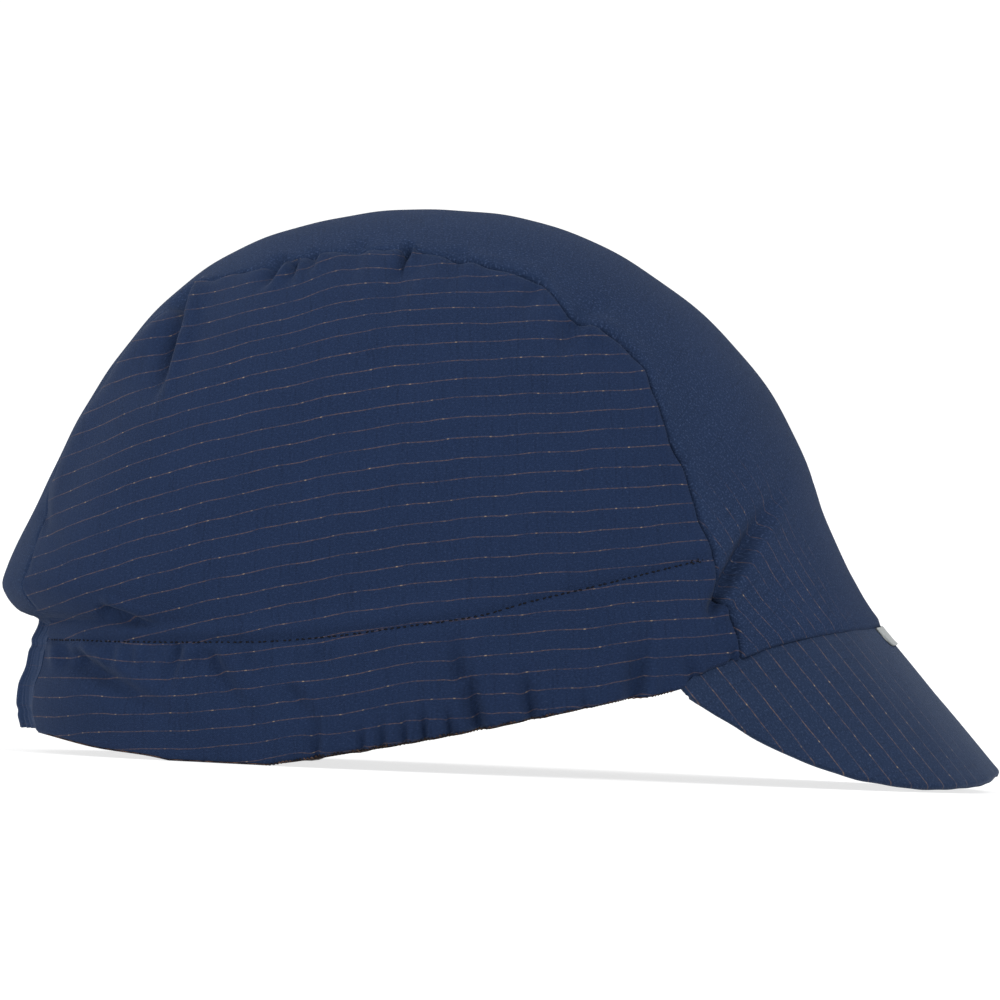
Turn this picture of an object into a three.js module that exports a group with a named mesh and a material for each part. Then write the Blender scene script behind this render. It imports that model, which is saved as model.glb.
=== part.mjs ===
// A three-panel cloth cycling cap that stands on its rim and on the edge of its short peak.
// Two side panels and a centre panel make the crown. A gathered casing holds the elastic at
// the back, a dark sweatband lines the rim, and a small tab sits where the peak is sewn on.
// The pieces are drawn as the cap is worn, level, in millimetres: X points forward, Y to the
// wearer's left and Z up, with X at 0 under the crown's top and Z at 0 at the rim's lowest
// point. The finished group is then tipped so that rim and peak rest on one flat surface.
import * as THREE from "three";

const { lerp, clamp, smoothstep, degToRad, radToDeg } = THREE.MathUtils;

// Driving dimensions, in millimetres and degrees
const CROWN_TOP = 137.75;
const HALF_WIDTH = 80;
const WIDEST_HEIGHT = 45;
const RIM_NARROWS = 2;
const PLAN_POWER = 2.2;
const CLOTH = 1.2;
const SEAM_GAP = 0.4;
const BAND_HALF_WIDTH = 28;
const SWEATBAND_HEIGHT = 22;
const SWEATBAND_THICKNESS = 1;
const SWEATBAND_GAP = 1.4;
const PEAK_THICKNESS = 2.6;
const PEAK_SLOPE = 50.4;
const PEAK_SET_IN = 0.5;
const PEAK_CORNER_X = 63.25;
const TAB = { halfWidth: 17, length: 5.9, thickness: 0.8, corner: 3, start: 0.9 };
const REST_TILT = 2.48;
const RESTS_AT_X = -45;

// How far the crown's outline reaches behind and in front of its top, seen from the side.
// It blouses out over the elastic at the back, then turns in to a notch above the casing.
const OUTLINE = [
  { height: 137.75, back: 0, front: 0 },
  { height: 135, back: 25.2, front: 25 },
  { height: 127.5, back: 47.9, front: 45.6 },
  { height: 116, back: 63.8, front: 62.8 },
  { height: 105, back: 74.1, front: 74.8 },
  { height: 90, back: 84.7, front: 86.8 },
  { height: 75, back: 92.5, front: 94.2 },
  { height: 60, back: 99.6, front: 99.4 },
  { height: 48, back: 105.3, front: 104.8 },
  { height: 44, back: 106.3, front: 107 },
  { height: 41, back: 105.2, front: 108.7 },
  { height: 37.5, back: 102.4, front: 111 },
  { height: 35, back: 98, front: 112.8 },
  { height: 30, back: 99.8, front: 114.6 },
  { height: 23.5, back: 101, front: 115 },
  { height: 18.5, back: 102.8, front: 115.1 },
  { height: 13, back: 103.3, front: 115.1 },
  { height: 8.5, back: 102.4, front: 115.1 },
  { height: -2, back: 101.5, front: 115.1 },
];

// Height of the rim along the cap; past the peak's corner it is the line where the peak is sewn on
const RIM = [
  { x: -110, height: 9.5 },
  { x: -101.2, height: 8 },
  { x: -82.5, height: 3.7 },
  { x: -70, height: 2 },
  { x: -57.5, height: -0.2 },
  { x: -43, height: -0.45 },
  { x: -32, height: 1.1 },
  { x: -20, height: 3.1 },
  { x: -6, height: 5.3 },
  { x: 11, height: 8.4 },
  { x: 28.6, height: 11.9 },
  { x: 46, height: 15.3 },
  { x: PEAK_CORNER_X, height: 18.7 },
  { x: 67, height: 22 },
  { x: 72, height: 24.1 },
  { x: 80.5, height: 27.1 },
  { x: 86, height: 29 },
  { x: 92.5, height: 30.6 },
  { x: 100.5, height: 32.1 },
  { x: 107, height: 32.9 },
  { x: 115, height: 33.5 },
];

// Half the centre panel's width, by the angle that runs from the front over the top to the back
const CENTRE_PANEL = [
  { angle: 18.3, half: 62.4 },
  { angle: 30, half: 62.6 },
  { angle: 45, half: 60.8 },
  { angle: 54, half: 58 },
  { angle: 62, half: 52.6 },
  { angle: 70, half: 49 },
  { angle: 80, half: 43 },
  { angle: 93, half: 36.8 },
  { angle: 104, half: 32 },
  { angle: 112, half: 26.2 },
  { angle: 121, half: 19.4 },
  { angle: 131, half: 17.2 },
  { angle: 141, half: 19.2 },
  { angle: 150, half: 26.2 },
  { angle: 160.2, half: 28 },
];
const FAN_HEIGHT = -0.2;

// Length of the peak along its slope, by where that slope starts on the rim
const PEAK = [
  { x: PEAK_CORNER_X, length: 2.8 },
  { x: 64.2, length: 6.5 },
  { x: 65.2, length: 11 },
  { x: 68.2, length: 21 },
  { x: 73.2, length: 29.8 },
  { x: 78, length: 36.3 },
  { x: 83.2, length: 41.6 },
  { x: 93.2, length: 47.4 },
  { x: 101, length: 49.1 },
  { x: 106, length: 49.3 },
  { x: 110.2, length: 48.5 },
  { x: 112.8, length: 47.2 },
];

// How far the sweatband shows below the rim; where the peak and the casing are, it stays above
const SWEATBAND_SHOWS = [
  { x: -110, drop: -0.8 },
  { x: -95, drop: -0.8 },
  { x: -35, drop: -0.3 },
  { x: -20, drop: 0.5 },
  { x: 25, drop: 0.5 },
  { x: 50, drop: -0.2 },
  { x: 60, drop: -0.3 },
  { x: 115, drop: -0.3 },
];

// Folds in the side panels, from their deep end to where they fade, seen from the side
const SIDE_FOLDS = [
  { x: -59.5, z: 119.5, toX: -67, toZ: 96, half: 3.2, depth: 2.4 },
  { x: -38.5, z: 125, toX: -43.5, toZ: 112, half: 2.4, depth: 1.6 },
  { x: -5, z: 128.5, toX: -8.5, toZ: 112, half: 2.4, depth: 1.6 },
  { x: 30, z: 117.5, toX: 24, toZ: 106, half: 2.4, depth: 1.2 },
  { x: -27, z: -1, toX: -31, toZ: 16, half: 3, depth: 1.2 },
  { x: -5, z: 2, toX: -9, toZ: 20, half: 3, depth: 1.2 },
  { x: 12.5, z: 6, toX: 6.5, toZ: 33, half: 3.2, depth: 1.8 },
  { x: 26.5, z: 8, toX: 24.5, toZ: 26, half: 3, depth: 1.2 },
  { x: 50, z: 14, toX: 52, toZ: 38, half: 3.6, depth: 1.6 },
];

// Creases in the centre panel that run out of the seams' lower ends
const CENTRE_FOLDS = [
  { x: 73, z: 39, toX: 88, toZ: 68, half: 4.4, depth: 1.8 },
  { x: 37, z: 109, toX: 50, toZ: 116, half: 3.2, depth: 1.4 },
];
const FOLDS_FADE = 9;
const LEFT_FOLDS_AHEAD = 5;
const CASING_GATHERS = { depth: 1.1, spacing: 8 };

// Reads a table of named columns between its rows, with a curve that never overshoots them
function reader(rows, key) {
  const at = rows.map((row) => row[key]);
  const rising = at[at.length - 1] > at[0] ? 1 : -1;
  const curves = {};
  for (const name of Object.keys(rows[0])) {
    const values = rows.map((row) => row[name]);
    const chords = values.slice(1).map((v, i) => (v - values[i]) / (at[i + 1] - at[i]));
    const slopes = values.map((_, i) => {
      const before = chords[i - 1] ?? chords[i];
      const after = chords[i] ?? before;
      return before * after <= 0 ? 0 : (2 * before * after) / (before + after);
    });
    curves[name] = { values, slopes };
  }
  return (name, value) => {
    const { values, slopes } = curves[name];
    let i = at.findIndex((a) => (a - value) * rising > 0) - 1;
    if (i === -1) return values[0];
    if (i < 0) return values[values.length - 1];
    const span = at[i + 1] - at[i];
    const t = (value - at[i]) / span;
    const rest = 1 - t;
    return (
      values[i] * (1 + 2 * t) * rest * rest +
      slopes[i] * span * t * rest * rest +
      values[i + 1] * t * t * (3 - 2 * t) -
      slopes[i + 1] * span * t * t * rest
    );
  };
}

// The outline is read by the root of the depth below the top, in which a dome is nearly straight
const underTop = (height) => Math.sqrt(Math.max(CROWN_TOP - height, 0));
const outlineAt = reader(
  OUTLINE.map((row) => ({ ...row, root: underTop(row.height) })),
  "root",
);
const rimAt = reader(RIM, "x");
const centreAt = reader(CENTRE_PANEL, "angle");
const peakAt = reader(PEAK, "x");
const showsAt = reader(SWEATBAND_SHOWS, "x");

// The level that the cap stands on cuts the rim flat for a short way on each side
const STANDING = new THREE.Vector3(Math.sin(degToRad(REST_TILT)), 0, Math.cos(degToRad(REST_TILT)));
const standsOn = (x) => (RESTS_AT_X - x) * Math.tan(degToRad(REST_TILT));
const rimHeight = (x) => Math.max(rimAt("height", x), standsOn(x));
const reach = (z, front) => outlineAt(front ? "front" : "back", underTop(z));

function sideReach(z) {
  const t = (z - WIDEST_HEIGHT) / (z > WIDEST_HEIGHT ? CROWN_TOP - WIDEST_HEIGHT : WIDEST_HEIGHT);
  return z > WIDEST_HEIGHT
    ? HALF_WIDTH * Math.sqrt(Math.max(1 - t * t, 0))
    : HALF_WIDTH - RIM_NARROWS * t * t;
}

// A point of the crown at a height, by its direction round the head: 0 is the front
function roundPoint(turn, z) {
  const c = Math.cos(turn);
  const s = Math.sin(turn);
  const r = (Math.abs(c) ** PLAN_POWER + Math.abs(s) ** PLAN_POWER) ** (-1 / PLAN_POWER);
  return new THREE.Vector3(reach(z, c > 0) * r * c, sideReach(z) * r * s, z);
}

function outsideCrown(x, y, z) {
  if (z >= CROWN_TOP) return true;
  const across = Math.abs(y) / sideReach(z);
  const along = Math.abs(x) / reach(z, x > 0);
  return across ** PLAN_POWER + along ** PLAN_POWER > 1;
}

// A point of the crown by its angle over the top, from the front, and its place across the cap
function fanPoint(angle, y) {
  const a = degToRad(angle);
  let inside = 0;
  let outside = 2 * CROWN_TOP;
  for (let i = 0; i < 36; i++) {
    const r = (inside + outside) / 2;
    if (outsideCrown(r * Math.cos(a), y, FAN_HEIGHT + r * Math.sin(a))) outside = r;
    else inside = r;
  }
  return new THREE.Vector3(inside * Math.cos(a), y, FAN_HEIGHT + inside * Math.sin(a));
}

// The direction round the head that a point of the crown lies in
function turnOf(point) {
  return Math.atan2(point.y / sideReach(point.z), point.x / reach(point.z, point.x > 0));
}

// How much a list of folds moves the cloth at a point: a valley beside a lower ridge.
// On the wearer's left the folds lie a little further forward.
function folded(folds, point) {
  const shift = point.y > 0 ? LEFT_FOLDS_AHEAD : 0;
  let moved = 0;
  for (const fold of folds) {
    const alongX = fold.toX - fold.x;
    const alongZ = fold.toZ - fold.z;
    const length = Math.hypot(alongX, alongZ);
    const dx = point.x - fold.x - shift;
    const dz = point.z - fold.z;
    const share = (dx * alongX + dz * alongZ) / length ** 2;
    const fade = smoothstep(share < 0 ? 1 + 4 * share : 1 - share, 0, 1);
    const off = (dx * alongZ - dz * alongX) / length / fold.half;
    moved += fold.depth * fade * (0.45 * Math.exp(-((off - 1.7) ** 2)) - Math.exp(-off * off));
  }
  return moved;
}

// All the crown's folds at a point; each list fades out just past the seam that bounds it
function crownRelief(point) {
  const angle = radToDeg(Math.atan2(point.z - FAN_HEIGHT, point.x));
  const past = Math.abs(point.y) - centreAt("half", angle);
  const side = smoothstep(past, -FOLDS_FADE, 0);
  const centre = 1 - smoothstep(past, 0, FOLDS_FADE);
  return side * folded(SIDE_FOLDS, point) + centre * folded(CENTRE_FOLDS, point);
}

// Full gathers across the elastic casing, fading out towards its ends
function gathered(point) {
  const fade = 1 - smoothstep(Math.abs(point.y), 18, BAND_HALF_WIDTH);
  return CASING_GATHERS.depth * fade * Math.cos((2 * Math.PI * point.y) / CASING_GATHERS.spacing);
}

// A closed cloth wall over a grid. place(u, v) is its outer surface, both from 0 to 1, relief
// moves a point out along the surface's normal, and the wall reaches depth inwards from there.
// A wall with a square foot is offset along the level it stands on at its lowest row.
function wall({ columns, rows, place, relief = () => 0, sunk = 0, depth = CLOTH, ...kind }) {
  const { ring = false, squareFoot = false } = kind;
  const step = 1e-3;
  const count = ring ? columns : columns + 1;
  const points = [];
  for (let i = 0; i < count; i++) {
    for (let j = 0; j <= rows; j++) {
      const u = i / columns;
      const v = j / rows;
      const point = place(u, v);
      const u0 = ring ? u - step : Math.max(u - step, 0);
      const u1 = ring ? u + step : Math.min(u + step, 1);
      const alongU = place(u1, v).sub(place(u0, v));
      const alongV = place(u, Math.min(v + step, 1)).sub(place(u, Math.max(v - step, 0)));
      const normal = alongU.cross(alongV).normalize();
      if (normal.dot(new THREE.Vector3(point.x, point.y, point.z - WIDEST_HEIGHT)) < 0) normal.negate();
      if (squareFoot && j === 0) normal.projectOnPlane(STANDING).normalize();
      const out = relief(point) - sunk;
      points.push(point.clone().addScaledVector(normal, out));
      points.push(point.clone().addScaledVector(normal, out - depth));
    }
  }
  const outer = (i, j) => 2 * ((i % count) * (rows + 1) + j);
  const inner = (i, j) => outer(i, j) + 1;
  const index = [];
  const quad = (a, b, c, d) => index.push(a, b, c, a, c, d);
  for (let i = 0; i < columns; i++) {
    for (let j = 0; j < rows; j++) {
      quad(outer(i, j), outer(i + 1, j), outer(i + 1, j + 1), outer(i, j + 1));
      quad(inner(i, j), inner(i, j + 1), inner(i + 1, j + 1), inner(i + 1, j));
    }
    quad(outer(i, 0), inner(i, 0), inner(i + 1, 0), outer(i + 1, 0));
    quad(outer(i, rows), outer(i + 1, rows), inner(i + 1, rows), inner(i, rows));
  }
  if (!ring) {
    for (let j = 0; j < rows; j++) {
      quad(outer(0, j), outer(0, j + 1), inner(0, j + 1), inner(0, j));
      quad(outer(columns, j), inner(columns, j), inner(columns, j + 1), outer(columns, j + 1));
    }
  }
  return facingOut(points, index);
}

// A mesh's signed volume tells which way its faces point
function facingOut(points, index) {
  let volume = 0;
  for (let i = 0; i < index.length; i += 3) {
    const [a, b, c] = [points[index[i]], points[index[i + 1]], points[index[i + 2]]];
    volume += a.dot(new THREE.Vector3().crossVectors(b, c));
  }
  if (volume < 0) index.reverse();
  const geometry = new THREE.BufferGeometry().setFromPoints(points);
  geometry.setIndex(index);
  geometry.computeVertexNormals();
  return geometry;
}

// Even steps along a curve of n points: gives the curve's own share for each share of length
function byLength(curve, n = 240) {
  const lengths = [0];
  let last = curve(0);
  for (let i = 1; i <= n; i++) {
    const next = curve(i / n);
    lengths.push(lengths[i - 1] + next.distanceTo(last));
    last = next;
  }
  return (share) => {
    const wanted = share * lengths[n];
    let i = lengths.findIndex((l) => l > wanted);
    if (i < 1) i = wanted > 0 ? n : 1;
    return (i - 1 + (wanted - lengths[i - 1]) / (lengths[i] - lengths[i - 1])) / n;
  };
}

// The angle at which the crown ends on the peak's line, by the place across the cap
function frontEdge(y) {
  let angle = CENTRE_PANEL[0].angle;
  for (let i = 0; i < 12; i++) {
    const x = fanPoint(angle, y).x;
    angle = radToDeg(Math.atan2(rimHeight(x) - FAN_HEIGHT, x));
  }
  return angle;
}

const FRONT_ANGLE = frontEdge(CENTRE_PANEL[0].half);
const BACK_ANGLE = CENTRE_PANEL[CENTRE_PANEL.length - 1].angle;
const seamAngle = (share) => lerp(BACK_ANGLE, FRONT_ANGLE, share);
const seamHalf = (angle) => centreAt("half", angle);

// The centre panel runs from the casing at the back over the top to the peak
function centrePanel() {
  const even = byLength((share) => fanPoint(seamAngle(share), 0));
  const trimmed = (across) => frontEdge(across * seamHalf(FRONT_ANGLE)) - FRONT_ANGLE;
  return wall({
    columns: 40,
    rows: 16,
    place: (u, v) => {
      const across = 2 * v - 1;
      const angle = seamAngle(even(u));
      const y = across * (seamHalf(angle) - SEAM_GAP / 2);
      return fanPoint(angle + trimmed(across) * smoothstep(u, 0.6, 1), y);
    },
    relief: crownRelief,
  });
}

// A point of the rim in a direction round the head
function rimPoint(turn) {
  let z = 0;
  for (let i = 0; i < 12; i++) z = rimHeight(roundPoint(turn, z).x);
  return roundPoint(turn, z);
}

// A side panel fills the D between the rim and the seam. Its columns climb from one to the other.
function sidePanel(side) {
  const seam = (share) => {
    const angle = seamAngle(share);
    return fanPoint(angle, side * (seamHalf(angle) + SEAM_GAP / 2));
  };
  const backTurn = Math.abs(turnOf(seam(0)));
  const frontTurn = Math.abs(turnOf(seam(1))) + 0.003;
  const turnAt = (share) => lerp(backTurn, frontTurn, share);
  const evenSeam = byLength(seam);
  const evenRim = byLength((share) => rimPoint(side * turnAt(share)));
  return wall({
    columns: 54,
    rows: 12,
    place: (u, v) => {
      const top = seam(evenSeam(clamp(u, 0, 1)));
      const topTurn = Math.abs(turnOf(top));
      const foot = rimPoint(side * turnAt(evenRim(u)));
      const footTurn = Math.abs(turnOf(foot));
      const climb = Math.sin((v * Math.PI) / 2) * 0.35 + v * 0.65;
      const turn = side * lerp(footTurn, topTurn, v);
      return roundPoint(turn, lerp(foot.z, top.z, climb));
    },
    relief: crownRelief,
    squareFoot: true,
  });
}

// The casing closes the back under the centre panel and is gathered by the elastic inside it
function elasticCasing() {
  const half = BAND_HALF_WIDTH - SEAM_GAP;
  return wall({
    columns: 36,
    rows: 6,
    place: (u, v) => {
      const y = (2 * u - 1) * half;
      const top = fanPoint(BACK_ANGLE, y).z - SEAM_GAP * 1.6;
      const z = lerp(RIM[1].height + 0.2, top, v);
      const x = -reach(z, false) * (1 - (Math.abs(y) / sideReach(z)) ** PLAN_POWER) ** (1 / PLAN_POWER);
      return new THREE.Vector3(x, y, z);
    },
    relief: gathered,
    sunk: CASING_GATHERS.depth,
  });
}

// The sweatband lines the whole rim and follows the folds of the cloth outside it
function sweatband() {
  return wall({
    columns: 110,
    rows: 3,
    ring: true,
    place: (u, v) => {
      const turn = 2 * Math.PI * u;
      const foot = rimPoint(turn);
      const drop = showsAt("drop", foot.x);
      return roundPoint(turn, foot.z - drop + v * (SWEATBAND_HEIGHT + drop));
    },
    relief: (point) => {
      const atCasing = point.x < 0 ? 1 - smoothstep(Math.abs(point.y), 24, 34) : 0;
      return crownRelief(point) - 2 * CASING_GATHERS.depth * atCasing;
    },
    sunk: CLOTH + SWEATBAND_GAP,
    depth: SWEATBAND_THICKNESS,
  });
}

// The peak is a stiff sheet bent round the rim's front; its straight lines run down its slope
const slope = degToRad(PEAK_SLOPE);
const downPeak = new THREE.Vector3(Math.cos(slope), 0, -Math.sin(slope));

function peakCornerTurn() {
  let low = 0.3;
  let high = 1.6;
  for (let i = 0; i < 30; i++) {
    const turn = (low + high) / 2;
    if (rimPoint(turn).x > PEAK_CORNER_X) low = turn;
    else high = turn;
  }
  return low;
}
const cornerTurn = peakCornerTurn();
const evenPeak = byLength((share) => rimPoint((2 * share - 1) * cornerTurn));

function peakPoint(share, along, from = SEAM_GAP) {
  const root = rimPoint((2 * evenPeak(share) - 1) * cornerTurn);
  return root.addScaledVector(downPeak, lerp(from, peakAt("length", root.x), along));
}

function peak() {
  return wall({
    columns: 32,
    rows: 6,
    place: peakPoint,
    sunk: PEAK_SET_IN,
    depth: PEAK_THICKNESS,
  });
}

// The tab lies on the peak's root at the middle, and its two lower corners are round
function frontTab() {
  const rootLength = 2 * byRootLength();
  return wall({
    columns: 12,
    rows: 2,
    place: (u, v) => {
      const y = (2 * u - 1) * TAB.halfWidth;
      const fromEnd = TAB.halfWidth - Math.abs(y);
      const round = Math.max(TAB.corner - fromEnd, 0);
      const shorter = TAB.corner - Math.sqrt(Math.max(TAB.corner ** 2 - round ** 2, 0));
      const root = peakPoint(0.5 + y / rootLength, 0, 0);
      return root.addScaledVector(downPeak, lerp(TAB.start, TAB.length - shorter, v));
    },
    sunk: PEAK_SET_IN - TAB.thickness - 0.25,
    depth: TAB.thickness,
  });
}

// Half the length of the peak's root, along the rim
function byRootLength() {
  let length = 0;
  let last = peakPoint(0.5, 0, 0);
  for (let i = 1; i <= 40; i++) {
    const next = peakPoint(0.5 + i / 80, 0, 0);
    length += next.distanceTo(last);
    last = next;
  }
  return length;
}

// Colours and finishes
const navyCloth = { color: 0x24324e, roughness: 0.82, metalness: 0, side: THREE.DoubleSide };
const darkBand = { color: 0x1f1a1c, roughness: 0.9, metalness: 0, side: THREE.DoubleSide };
const greyTab = { color: 0x9aa0a3, roughness: 0.45, metalness: 0.2 };

function piece(name, geometry, finish) {
  const mesh = new THREE.Mesh(geometry, new THREE.MeshStandardMaterial(finish));
  mesh.name = name;
  return mesh;
}

const worn = new THREE.Group();
worn.add(piece("centre_panel", centrePanel(), navyCloth));
worn.add(piece("side_panel_right", sidePanel(-1), navyCloth));
worn.add(piece("side_panel_left", sidePanel(1), navyCloth));
worn.add(piece("elastic_casing", elasticCasing(), navyCloth));
worn.add(piece("sweatband", sweatband(), darkBand));
worn.add(piece("peak", peak(), navyCloth));
worn.add(piece("front_tab", frontTab(), greyTab));

// The cap tips back until its rim and the peak's edge stand on one level, then it is centred there
worn.rotation.y = -degToRad(REST_TILT);
const cap = new THREE.Group();
cap.add(worn);
cap.updateMatrixWorld(true);
const box = new THREE.Box3().setFromObject(cap, true);
worn.position.set(-(box.min.x + box.max.x) / 2, -(box.min.y + box.max.y) / 2, -box.min.z);

export default cap;
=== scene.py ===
import math

import bpy
import numpy as np
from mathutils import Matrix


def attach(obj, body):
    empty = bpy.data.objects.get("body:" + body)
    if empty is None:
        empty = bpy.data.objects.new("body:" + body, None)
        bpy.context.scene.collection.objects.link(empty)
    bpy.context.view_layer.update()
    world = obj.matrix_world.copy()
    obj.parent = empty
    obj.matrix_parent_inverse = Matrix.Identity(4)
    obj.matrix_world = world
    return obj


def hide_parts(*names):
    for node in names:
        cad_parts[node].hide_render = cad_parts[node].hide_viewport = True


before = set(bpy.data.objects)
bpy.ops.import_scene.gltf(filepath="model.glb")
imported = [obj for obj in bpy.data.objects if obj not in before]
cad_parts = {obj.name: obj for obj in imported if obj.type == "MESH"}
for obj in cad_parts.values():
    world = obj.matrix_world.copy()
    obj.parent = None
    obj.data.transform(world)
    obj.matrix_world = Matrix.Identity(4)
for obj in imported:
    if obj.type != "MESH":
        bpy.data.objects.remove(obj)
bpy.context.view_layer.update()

# Centre panel
# A strip of navy cotton with fine tan ripstop threads, cut to run from the peak over the top
# of the head to the elastic at the back. Its long edges are sewn to the two side panels, and
# each seam pulls the cloth into a shallow groove with small puckers along it.

# How far the crown reaches behind and in front of its top, in mm, with the cap held level
OUTLINE = (
    # height, back, front
    (137.75, 0, 0),
    (135, 25.2, 25),
    (127.5, 47.9, 45.6),
    (116, 63.8, 62.8),
    (105, 74.1, 74.8),
    (90, 84.7, 86.8),
    (75, 92.5, 94.2),
    (60, 99.6, 99.4),
    (48, 105.3, 104.8),
    (44, 106.3, 107),
    (41, 105.2, 108.7),
    (37.5, 102.4, 111),
    (35, 98, 112.8),
    (30, 99.8, 114.6),
    (23.5, 101, 115),
    (18.5, 102.8, 115.1),
    (13, 103.3, 115.1),
    (8.5, 102.4, 115.1),
    (-2, 101.5, 115.1),
)
# Height of the rim; from x = 63 on it is the line where the peak is sewn on
RIM = (
    # x, height
    (-110, 9.5), (-101.2, 8), (-82.5, 3.7), (-70, 2), (-57.5, -0.2), (-43, -0.45), (-32, 1.1),
    (-20, 3.1), (-6, 5.3), (11, 8.4), (28.6, 11.9), (46, 15.3), (63.25, 18.7), (67, 22),
    (72, 24.1), (80.5, 27.1), (86, 29), (92.5, 30.6), (100.5, 32.1), (107, 32.9), (115, 33.5),
)
# Half the panel's width by the angle from the front, over the top, to the back
SEAM = (
    # angle, half width
    (18.3, 62.3), (23.8, 62.7), (28.5, 62.9), (32.7, 62.3), (37, 61.3), (41.4, 61.4), (45, 60.8),
    (48.7, 60), (52.9, 59.3), (55.7, 57.5), (57.6, 56), (59.5, 54.2), (61.5, 51.9), (63.4, 51.1),
    (67.2, 49.8), (70.6, 49.9), (72.4, 49.8), (73.9, 48.2), (75.4, 46), (77.1, 43), (78.9, 42.6),
    (83.4, 41.6), (87.7, 39.5), (92.7, 36.7), (98.3, 34.7), (102.6, 32.7), (106.6, 31.5),
    (108.7, 30.3), (111.4, 26.8), (115, 21.6), (119, 18.4), (125, 17.4), (132, 17), (138, 17.6),
    (142.3, 18.7), (145.1, 20.5), (149.4, 27.2), (152.9, 29.8), (157.7, 29.4), (160.2, 28.2),
)
CROWN_TOP = 137.75
HALF_WIDTH = 80.0
WIDEST_HEIGHT = 45.0
RIM_NARROWS = 2.0
# How full the corners are seen from above; 2 would be an ellipse
PLAN_POWER = 2.2
# The angles over the top are measured round a line across the cap at this height
FAN_HEIGHT = -0.2
CLOTH = 1.2
# How far each panel runs past the line of the seam
SEAM_LAP = 0.35
# The level cap is turned nose down and moved by this to stand on its rim and peak
REST_TILT = math.radians(2.48)
RESTS_AT_X = -45.0
STANDS_AT = (-17.82, 0.0, 1.964)


def smooth_read(rows, column, where):
    """Reads a short table with a curve through its rows that never overshoots them."""
    rows = np.array(rows, float)
    at, values = rows[:, 0], rows[:, column]
    if at[0] > at[-1]:
        at, values = at[::-1], values[::-1]
    chords = np.diff(values) / np.diff(at)
    before = np.concatenate([chords[:1], chords])
    after = np.concatenate([chords, chords[-1:]])
    both = before * after
    slopes = np.where(both > 0, 2 * both / np.where(both > 0, before + after, 1), 0)
    where = np.clip(where, at[0], at[-1])
    i = np.clip(np.searchsorted(at, where, side="right") - 1, 0, len(at) - 2)
    span = at[i + 1] - at[i]
    t = (where - at[i]) / span
    r = 1 - t
    return (
        values[i] * (1 + 2 * t) * r * r
        + slopes[i] * span * t * r * r
        + values[i + 1] * t * t * (3 - 2 * t)
        - slopes[i + 1] * span * t * t * r
    )


def ease(value, low, high):
    """0 below low, 1 above high, and a smooth step between them."""
    t = np.clip((value - low) / (high - low), 0, 1)
    return t * t * (3 - 2 * t)


def rim_height(x):
    """The rim's lower edge, cut off level where the cap stands on it."""
    stands_on = (RESTS_AT_X - x) * math.tan(REST_TILT)
    return np.maximum(smooth_read(RIM, 1, x), stands_on)


OUTLINE_BY_ROOT = [(math.sqrt(CROWN_TOP - z), back, front) for z, back, front in OUTLINE]


def reach(z, front):
    """How far the crown reaches forwards or backwards at a height."""
    root = np.sqrt(np.maximum(CROWN_TOP - z, 0))
    return np.where(
        front,
        smooth_read(OUTLINE_BY_ROOT, 2, root),
        smooth_read(OUTLINE_BY_ROOT, 1, root),
    )


def side_reach(z):
    """Half the crown's width at a height."""
    above = (z - WIDEST_HEIGHT) / (CROWN_TOP - WIDEST_HEIGHT)
    below = (WIDEST_HEIGHT - z) / WIDEST_HEIGHT
    dome = HALF_WIDTH * np.sqrt(np.maximum(1 - above**2, 0))
    return np.where(z > WIDEST_HEIGHT, dome, HALF_WIDTH - RIM_NARROWS * below**2)


def round_point(turn, z):
    """The crown's surface at a height, by the direction round the head; 0 is the front."""
    c, s = np.cos(turn), np.sin(turn)
    r = (np.abs(c) ** PLAN_POWER + np.abs(s) ** PLAN_POWER) ** (-1 / PLAN_POWER)
    return np.stack([reach(z, c > 0) * r * c, side_reach(z) * r * s, z + 0 * turn], -1)


def fan_point(angle, y):
    """The crown's surface by the angle over the top and the place across the cap."""
    angle, y = np.broadcast_arrays(np.asarray(angle, float), np.asarray(y, float))
    c, s = np.cos(np.radians(angle)), np.sin(np.radians(angle))
    inside = np.zeros(angle.shape)
    outside = np.full(angle.shape, 2 * CROWN_TOP)
    for _ in range(30):
        r = (inside + outside) / 2
        x, z = r * c, FAN_HEIGHT + r * s
        under = np.minimum(z, CROWN_TOP - 1e-6)
        across = np.abs(y) / side_reach(under)
        along = np.abs(x) / np.maximum(reach(under, x > 0), 1e-6)
        out = (z >= CROWN_TOP) | (across**PLAN_POWER + along**PLAN_POWER > 1)
        outside = np.where(out, r, outside)
        inside = np.where(out, inside, r)
    return np.stack([inside * c, y, FAN_HEIGHT + inside * s], -1)


def turn_of(point):
    """The direction round the head that a point of the crown lies in."""
    across = point[..., 1] / side_reach(point[..., 2])
    return np.arctan2(across, point[..., 0] / reach(point[..., 2], point[..., 0] > 0))


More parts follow.
